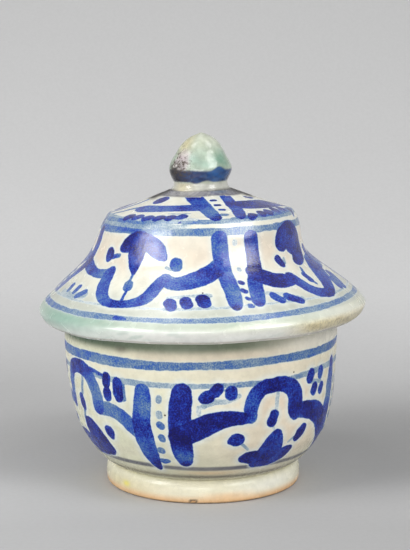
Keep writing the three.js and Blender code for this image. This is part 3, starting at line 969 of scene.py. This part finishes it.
def pigment_of(sheet):
    """How much cobalt lies at a point: the heaviest stroke counts, and one crossing it adds a little."""
    wander = sheet.times(sheet.math("SUBTRACT", sheet.noise(2.6, 3), 0.5), EDGE_WANDER)
    cloud = sheet.ease(sheet.noise(6.5, 3), 0.25, 0.75, 0.8, 1.2)
    grain = sheet.ease(sheet.noise(0.6, 2, 0.7), 0.3, 0.7, 0.72, 1.26)
    watery = sheet.times(cloud, grain)
    total = 0.0
    overlap = 0.0
    for layer in LAYERS:
        edge = sheet.plus(sheet.attribute(layer).outputs["Fac"], wander)
        tone = sheet.attribute(layer + "_tone").outputs["Fac"]
        body = sheet.ease(edge, 0.3, -0.35)
        bleed = sheet.ease(edge, 1.9, -0.2, 0.0, BLEED)
        cover = sheet.times(sheet.math("MAXIMUM", body, bleed), tone)
        overlap = sheet.plus(overlap, sheet.math("MINIMUM", cover, total))
        total = sheet.math("MAXIMUM", cover, total)
    total = sheet.plus(total, sheet.times(overlap, OVERLAP))
    return sheet.times(total, watery)


def pits_of(sheet, share):
    """Pinholes: a dot at a share of the points of a random scatter."""
    cells = sheet.node("ShaderNodeTexVoronoi", Vector=sheet.where, Scale=1 / (PIT_SPACING * MM))
    pick = sheet.node("ShaderNodeSeparateColor", Color=cells.outputs["Color"])
    radius = sheet.ease(pick.outputs["Red"], 1 - share, 1.0, 0.0, PIT_RADIUS)
    gap = sheet.math("SUBTRACT", radius, cells.outputs["Distance"])
    return sheet.ease(gap, -0.005, 0.02)


def glaze(name, roughness=0.27, ior=1.5, painted=True, pit_share=0.16, uneven=0.05):
    """Glossy tin glaze: a mottled tint, cobalt brushwork, pinholes, dry places and a rippled skin."""
    sheet = Sheet(name)
    mottle = sheet.ease(sheet.noise(3.5, 4, 0.6), 0.3, 0.7, 0.99 - uneven, 0.99 + uneven)
    broad = sheet.ease(sheet.noise(16, 2), 0.3, 0.7, 0.96, 1.03)
    shade = sheet.times(mottle, broad)
    colour = sheet.mix(1.0, sheet.attribute("tint").outputs["Color"], shade, "MULTIPLY")
    if painted:
        pigment = pigment_of(sheet)
        ink = sheet.ramp(sheet.math("DIVIDE", pigment, FULL_PIGMENT), *COBALT)
        colour = sheet.mix(sheet.ease(pigment, 0.0, 0.22), colour, ink)
    dry = sheet.attribute("dry").outputs["Fac"]
    crust = sheet.times(sheet.ease(sheet.noise(1.1, 3, 0.65), 0.47, 0.6), dry)
    colour = sheet.mix(crust, colour, CRUST)
    pits = pits_of(sheet, pit_share)
    colour = sheet.mix(pits, colour, PIT)
    skin = sheet.plus(sheet.times(sheet.noise(0.8, 3, 0.7), 0.25), sheet.noise(5.0, 2))
    skin = sheet.math("SUBTRACT", skin, sheet.times(pits, 0.6))
    relief = sheet.node("ShaderNodeBump", Height=skin, Strength=0.35, Distance=0.4 * MM)
    gloss = sheet.ease(sheet.noise(4.0, 3), 0.3, 0.75, roughness * 0.8, roughness * 1.35)
    gloss = sheet.plus(gloss, sheet.times(dry, 0.5))
    shader = sheet.node("ShaderNodeBsdfPrincipled", Base_Color=colour, Roughness=gloss,
                        Normal=relief.outputs["Normal"], IOR=ior)
    sheet.node("ShaderNodeOutputMaterial", Surface=shader.outputs["BSDF"])
    return sheet.material


def build(piece, name, body, material, tint, paint=None, dry=0.0):
    """Makes a turned piece's mesh with its paint, tint and dry places, in place of its CAD node."""
    mesh = bpy.data.meshes.new(name)
    mesh.from_pydata((handmade(piece.points, piece.degrees) * MM).tolist(), [], piece.faces)
    mesh.polygons.foreach_set("use_smooth", [True] * len(mesh.polygons))
    colour = mesh.attributes.new("tint", "FLOAT_COLOR", "POINT")
    colour.data.foreach_set("color", tint.astype(np.float32).ravel())
    fields = {"dry": np.zeros(len(piece.points)) + dry}
    if paint:
        for layer in LAYERS:
            fields[layer] = paint.edge[layer]
            fields[layer + "_tone"] = paint.tone[layer]
    for field, values in fields.items():
        attribute = mesh.attributes.new(field, "FLOAT", "POINT")
        attribute.data.foreach_set("value", values.astype(np.float32))
    mesh.materials.append(material)
    obj = bpy.data.objects.new(name, mesh)
    bpy.context.scene.collection.objects.link(obj)
    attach(obj, body)
    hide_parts(piece.node)


bowl, bowl_paint = make_bowl()
bowl_glaze = glaze("bowl_glaze", ior=1.36, pit_share=0.3)
build(bowl, "painted_bowl", "pot", bowl_glaze, bowl_tint(bowl, bowl_paint), bowl_paint)

foot = Turned("foot_ring", sectors=300, pace=even(0.7))
foot_glaze = glaze("foot_glaze", roughness=0.24, painted=False, pit_share=0.3)
build(foot, "glazed_foot", "pot", foot_glaze, foot_tint(foot))

lid, lid_paint = make_lid()
lid_glaze = glaze("lid_glaze", roughness=0.22, ior=1.8)
lid_dry = 0.32 * brim_rust(lid) + 0.6 * crown_side_darkening(lid)
build(lid, "painted_lid", "lid", lid_glaze, lid_tint(lid, lid_paint), lid_paint, lid_dry)

collar = Turned("lid_collar", sectors=240, pace=even(0.9))
bare_biscuit = glaze("bare_biscuit", roughness=0.55, ior=1.4, painted=False)
build(collar, "biscuit_collar", "lid", bare_biscuit, collar_tint(collar))

knob = Turned("knob", sectors=240, pace=even(0.4))
knob_glaze = glaze("knob_glaze", roughness=0.13, ior=1.64, painted=False, pit_share=0.5, uneven=0.13)
build(knob, "glazed_knob", "lid", knob_glaze, knob_tint(knob), dry=knob_scorch(knob))


# Studio. Sizes are in metres.

FLOOR_FRONT = -6.0
FLOOR_END = 0.16
RISE = 0.45  # radius of the curve from the floor to the backdrop
BACKDROP_TOP = 1.6
HALF_WIDTH = 5.0
CURVE_STEPS = 16

# The paper's greys from the front of the floor up the backdrop, as (share of the way, grey). They are
# painted light and shade: darker on the floor just behind the pot, palest up on the curve.
PAPER_START = -0.4
PAPER_REACH = 2.0
PAPER_GREYS = ((0.0, 176), (0.165, 177), (0.176, 184), (0.19, 190), (0.205, 181), (0.235, 179),
               (0.262, 188), (0.284, 192), (0.31, 198), (0.336, 205), (0.376, 214), (0.409, 213),
               (0.483, 205), (0.579, 197), (0.8, 183))
FAR_FLOOR = srgb(182, 182, 182)
FAR_FROM = 0.68
FAR_FULL = 0.95

# Lamps: name, azimuth and elevation in degrees, distance, (width, height), watts, roll in degrees
LAMPS = (
    ("left_softbox", -56, 30, 0.95, (0.42, 0.5), 5.0, 0),
    ("right_softbox", 50, 36, 0.95, (0.5, 0.66), 5.4, -19),
    ("left_boom", -70, 66, 1.0, (0.32, 0.36), 1.1, 0),
    ("right_boom", 80, 66, 1.0, (0.24, 0.36), 0.8, 0),
    ("top_boom", -34, 76, 1.0, (0.3, 0.3), 0.25, 0),
    ("front_fill", -10, 6, 1.3, (1.0, 0.4), 4.7, 0),
)
ROOM_LIGHT = 0.165

CAMERA_PLACE = (0.00085, -0.637, 0.185)
CAMERA_DOWN = 8.577  # degrees below the horizontal
LENS = 98.27  # mm
SENSOR = 36.0  # width in mm


def studio_paper():
    """Pale paper, its greys painted with light and shade. Far from the pot it is an even grey, and from
    behind the camera sees through it.
    """
    sheet = Sheet("studio_paper")
    place = sheet.node("ShaderNodeSeparateXYZ", Vector=sheet.where).outputs
    along = sheet.plus(place["Y"], place["Z"])
    share = sheet.math("DIVIDE", sheet.math("SUBTRACT", along, PAPER_START), PAPER_REACH)
    tone = sheet.ramp(share, *[(stop, srgb(grey, grey, grey)) for stop, grey in PAPER_GREYS])
    # Painted shade: each stretch is darker to one side, by this much for each metre to the right
    slope = sheet.ease(share, 0.17, 0.2, -0.7, -1.6)
    slope = sheet.plus(slope, sheet.ease(share, 0.23, 0.3, 0.0, 1.85))
    slope = sheet.math("SUBTRACT", slope, sheet.ease(share, 0.35, 0.44, 0.0, 0.25))
    painted_side_shade = sheet.plus(sheet.times(place["X"], slope), 1.0)
    fibre = sheet.ease(sheet.noise(2.2, 3, 0.6), 0.3, 0.7, 0.985, 1.015)
    for shade in (painted_side_shade, fibre):
        tone = sheet.mix(1.0, tone, shade, "MULTIPLY")
    paper = sheet.node("ShaderNodeBsdfPrincipled", Base_Color=tone, Roughness=0.9)
    rays = sheet.node("ShaderNodeLightPath").outputs
    seen = rays["Is Camera Ray"]
    for ray in ("Is Glossy Ray", "Is Transmission Ray"):
        seen = sheet.plus(seen, rays[ray], clamp=True)
    squares = [sheet.math("POWER", place[axis], 2.0) for axis in "XY"]
    away = sheet.math("SQRT", sheet.plus(*squares))
    far = sheet.times(sheet.ease(away, FAR_FROM, FAR_FULL), seen)
    haze = sheet.node("ShaderNodeEmission", Color=FAR_FLOOR)
    surface = sheet.blend(far, paper.outputs["BSDF"], haze.outputs["Emission"])
    back = sheet.node("ShaderNodeNewGeometry").outputs["Backfacing"]
    behind = sheet.times(back, rays["Is Camera Ray"])
    clear = sheet.node("ShaderNodeBsdfTransparent")
    surface = sheet.blend(behind, surface, clear.outputs["BSDF"])
    sheet.node("ShaderNodeOutputMaterial", Surface=surface)
    return sheet.material


def make_sweep():
    """A pale floor that curves up into a backdrop behind the pot."""
    curve = [(FLOOR_FRONT, 0.0), (FLOOR_END, 0.0)]
    for step in range(1, CURVE_STEPS + 1):
        angle = math.pi / 2 * step / CURVE_STEPS
        curve.append((FLOOR_END + RISE * math.sin(angle), RISE * (1 - math.cos(angle))))
    curve.append((FLOOR_END + RISE, BACKDROP_TOP))
    vertices = [(side * HALF_WIDTH, y, z) for y, z in curve for side in (-1, 1)]
    faces = [(2 * i, 2 * i + 1, 2 * i + 3, 2 * i + 2) for i in range(len(curve) - 1)]
    mesh = bpy.data.meshes.new("sweep")
    mesh.from_pydata(vertices, [], faces)
    mesh.polygons.foreach_set("use_smooth", [True] * len(mesh.polygons))
    mesh.materials.append(studio_paper())
    sweep = bpy.data.objects.new("sweep", mesh)
    bpy.context.scene.collection.objects.link(sweep)


def softbox(name, azimuth, elevation, distance, size, power, roll):
    """A rectangular soft light aimed at the pot. Azimuth 0 is the camera's side, growing to the right."""
    data = bpy.data.lights.new(name, "AREA")
    data.shape = "RECTANGLE"
    data.size, data.size_y = size
    data.energy = power
    light = bpy.data.objects.new(name, data)
    light.visible_camera = False
    a, e = math.radians(azimuth), math.radians(elevation)
    middle = np.array([0, 0, cad_high[2] / 2])
    away = np.array([math.sin(a) * math.cos(e), -math.cos(a) * math.cos(e), math.sin(e)])
    light.location = middle + distance * away
    turn = Euler((math.pi / 2 - e, 0, a)).to_matrix() @ Matrix.Rotation(math.radians(roll), 3, "Z")
    light.rotation_euler = turn.to_euler()
    bpy.context.scene.collection.objects.link(light)


def make_camera():
    data = bpy.data.cameras.new("camera")
    data.sensor_width = SENSOR
    data.lens = LENS
    camera = bpy.data.objects.new("camera", data)
    camera.location = CAMERA_PLACE
    camera.rotation_euler = (math.radians(90 - CAMERA_DOWN), 0, 0)
    bpy.context.scene.collection.objects.link(camera)
    bpy.context.scene.camera = camera


def light_room():
    """A faint even light from all sides."""
    world = bpy.data.worlds.new("studio")
    bpy.context.scene.world = world
    world.use_nodes = True
    background = world.node_tree.nodes["Background"]
    background.inputs["Color"].default_value = (1, 1, 1, 1)
    background.inputs["Strength"].default_value = ROOM_LIGHT


make_camera()
make_sweep()
for lamp in LAMPS:
    softbox(*lamp)
light_room()
bpy.context.scene.view_settings.view_transform = "Standard"
